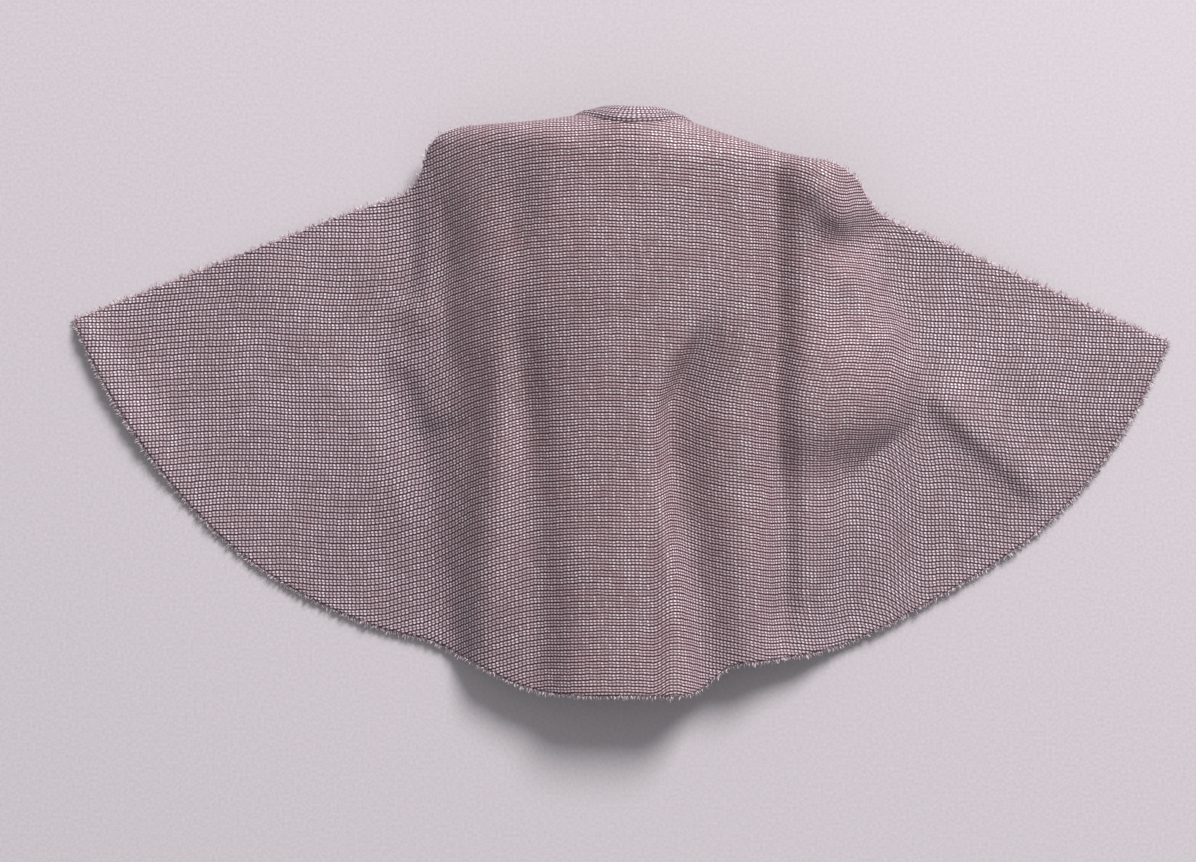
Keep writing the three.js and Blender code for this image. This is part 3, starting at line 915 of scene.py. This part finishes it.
def turnedPart(name, outline, centre, material):
    # a turned body with sewing holes through its rim
    outline = np.array(outline, float)
    turns = 64
    points, faces = [], []
    for k in range(turns):
        angle = 2 * math.pi * k / turns
        for radius, height in outline:
            points.append((radius * math.cos(angle), radius * math.sin(angle), height))
    n = len(outline)
    for k in range(turns):
        for i in range(n):
            j, m = (i + 1) % n, (k + 1) % turns
            if outline[i][0] < 1e-6 and outline[j][0] < 1e-6:
                continue
            faces.append((k * n + i, k * n + j, m * n + j, m * n + i))
    piece = newMesh(name, (np.array(points) + np.array(centre)) / 1000, faces, material)
    shape = bmesh.new()
    shape.from_mesh(piece.data)
    bmesh.ops.remove_doubles(shape, verts=shape.verts, dist=1e-7)
    bmesh.ops.dissolve_degenerate(shape, edges=shape.edges, dist=1e-8)
    bmesh.ops.recalc_face_normals(shape, faces=shape.faces)
    shape.to_mesh(piece.data)
    shape.free()
    drill = bmesh.new()
    for k in range(snap["holes"]):
        angle = math.pi / 4 + 2 * math.pi * k / snap["holes"]
        made = bmesh.ops.create_cone(
            drill, cap_ends=True, segments=16, radius1=snap["holeRadius"] / 1000,
            radius2=snap["holeRadius"] / 1000, depth=0.006,
        )
        x = centre[0] + snap["holesAt"] * math.cos(angle)
        y = centre[1] + snap["holesAt"] * math.sin(angle)
        bmesh.ops.translate(drill, verts=made["verts"], vec=(x / 1000, y / 1000, centre[2] / 1000))
    mesh = bpy.data.meshes.new("drill")
    drill.to_mesh(mesh)
    drill.free()
    cutter = bpy.data.objects.new("drill", mesh)
    bpy.context.scene.collection.objects.link(cutter)
    cut = piece.modifiers.new("sewingHoles", "BOOLEAN")
    cut.operation = "DIFFERENCE"
    cut.solver = "EXACT"
    cut.object = cutter
    seen = piece.evaluated_get(bpy.context.evaluated_depsgraph_get())
    drilled = bpy.data.meshes.new_from_object(seen)
    piece.modifiers.clear()
    piece.data = drilled
    bpy.data.objects.remove(cutter)
    drilled.set_sharp_from_angle(angle=math.radians(35))
    return piece


def snapBall():
    low, high = (np.array(c) * 1000 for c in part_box("snap_ball"))
    centre = [(low[0] + high[0]) / 2, (low[1] + high[1]) / 2, high[2]]
    radius, stud, flange = snap["radius"], snap["studRadius"], snap["flange"]
    deep = high[2] - low[2]
    outline = [
        [0, -deep], [stud * 0.62, -deep], [stud * 0.9, -deep + 0.1], [stud, -deep + 0.3],
        [stud * 0.94, -deep + 0.45], [stud * 0.75, -flange - 0.25], [stud * 0.8, -flange - 0.06],
        [stud * 1.1, -flange], [radius - 0.5, -flange], [radius - 0.1, -flange - 0.02],
        [radius, -flange + 0.08], [radius, -0.12], [radius - 0.12, 0],
        [radius - 0.5, 0], [stud * 1.3, -0.02], [stud * 0.8, -0.2], [0, -0.24],
    ]
    return turnedPart("snapBall", outline, centre, nickel)


def snapSocket():
    low, high = (np.array(c) * 1000 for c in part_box("snap_socket"))
    centre = [(low[0] + high[0]) / 2, (low[1] + high[1]) / 2, high[2]]
    radius, bore, groove = snap["radius"], snap["bore"], snap["groove"]
    thick = high[2] - low[2]
    middle = -thick / 2
    outline = [
        [bore, -thick + 0.06], [bore + 0.1, -thick], [radius - 0.14, -thick],
        [radius, -thick + 0.12], [radius, -0.4], [radius - 0.1, -0.3], [groove + 0.12, -0.22],
        [groove + 0.02, -0.04], [groove - 0.1, 0], [bore + 0.08, 0], [bore, -0.06],
        [bore, middle + 0.2], [groove, middle + 0.2], [groove, middle - 0.2], [bore, middle - 0.2],
    ]
    return turnedPart("snapSocket", outline, centre, nickel)


# Sewing
sewing = {
    "perHole": 4, "holeLength": 1.3, "holeThread": 0.19, "holeSpread": 0.22, "over": 1.7,
    "pitch": 1.15, "length": 0.88, "thread": 0.24, "from": -146, "to": 104, "seamAt": 0.75,
}


def sewnCross(name, node, seed):
    # short bundles of thread through each sewing hole and over the rim
    low, high = (np.array(c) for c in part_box(node))
    centre = (low + high) / 2
    lines = []
    for k in range(snap["holes"]):
        angle = math.pi / 4 + 2 * math.pi * k / snap["holes"]
        out = np.array([math.cos(angle), math.sin(angle), 0])
        side = np.array([-out[1], out[0], 0])
        at = centre + out * sewing["over"] / 1000
        beside = side * sewing["holeSpread"] / 1000
        row = np.array([at - beside, at + beside])
        lines.append((row, np.tile(out, (2, 1)), sewing["perHole"]))
    return scatter(name, lines, stitchTree, {
        "Length": sewing["holeLength"] / 1000, "Thickness": sewing["holeThread"] / 1000,
        "Spread": 0.12, "Unevenness": 0.12,
        "Seed": seed, "Material": sewingThread,
    })


def bandStitches():
    # a running stitch round the outside of the band
    angle = np.linspace(sewing["from"], sewing["to"], 200)
    seam = bandPath(angle, band["middle"] + sewing["seamAt"])
    across = bandPath(angle, band["middle"] + sewing["seamAt"] + 0.5) - seam
    along = np.gradient(seam, axis=0)
    along /= np.linalg.norm(along, axis=1)[:, None]
    outside = np.cross(across, along)
    outside /= np.linalg.norm(outside, axis=1)[:, None]
    outside *= np.where(outside[:, 2:] * np.where(abs(angle)[:, None] < 90, 1, -1) < 0, -1, 1)
    seam = seam + outside * band["thickness"] * 0.47
    run = np.linalg.norm(np.diff(seam, axis=0), axis=1).sum()
    count = int(run / sewing["pitch"])
    return scatter("bandStitches", [(toFrame(seam), along, count)], stitchTree, {
        "Length": sewing["length"] / 1000, "Thickness": sewing["thread"] / 1000,
        "Spread": 0.08, "Unevenness": 0.1, "Seed": 3, "Material": sewingThread,
    })


# The whole cape
across, down, taut = stitchCounter()
foldReach = 2  # how far from a fold's line foldEnds() puts each of its two ends
sides = {
    "left": {"way": -1, "body": "left_side", "joint": "left_fold", "wing": "left_wing"},
    "right": {"way": 1, "body": "right_side", "joint": "right_fold", "wing": "right_wing"},
}
for word, side in sides.items():
    bend = foldEnds(joints[side["joint"]], foldReach)
    laid = clothSide(word + "Cloth", side["way"], across, down, taut)
    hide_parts("back_panel", side["wing"])
    fuzz = frayedEdge(word + "Fray", side["way"])
    for piece in (laid, fuzz):
        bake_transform(piece)
    print("cape:", word, "cloth and its frayed edge laid")

neck = neckBand()
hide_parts("neck_band")
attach(neck, "back")
seam = bandStitches()
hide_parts("band_thread")
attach(seam, "back")
flap = closingTab()
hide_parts("closing_tab")
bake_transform(flap)
print("cape: neck band and closing tab made")

for make, node, body in (
    (snapBall, "snap_ball", "back"), (snapSocket, "snap_socket", "closing_flap"),
):
    piece = make()
    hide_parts(node)
    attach(piece, body)
for name, node, body, seed in (
    ("ballSewing", "ball_thread", "back", 5), ("socketSewing", "socket_thread", "closing_flap", 6),
):
    piece = sewnCross(name, node, seed)
    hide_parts(node)
    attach(piece, body)
spring = frame["nodes"]["snap_spring"]
spring.data.materials.clear()
spring.data.materials.append(nickel)
print("cape: press snap made")
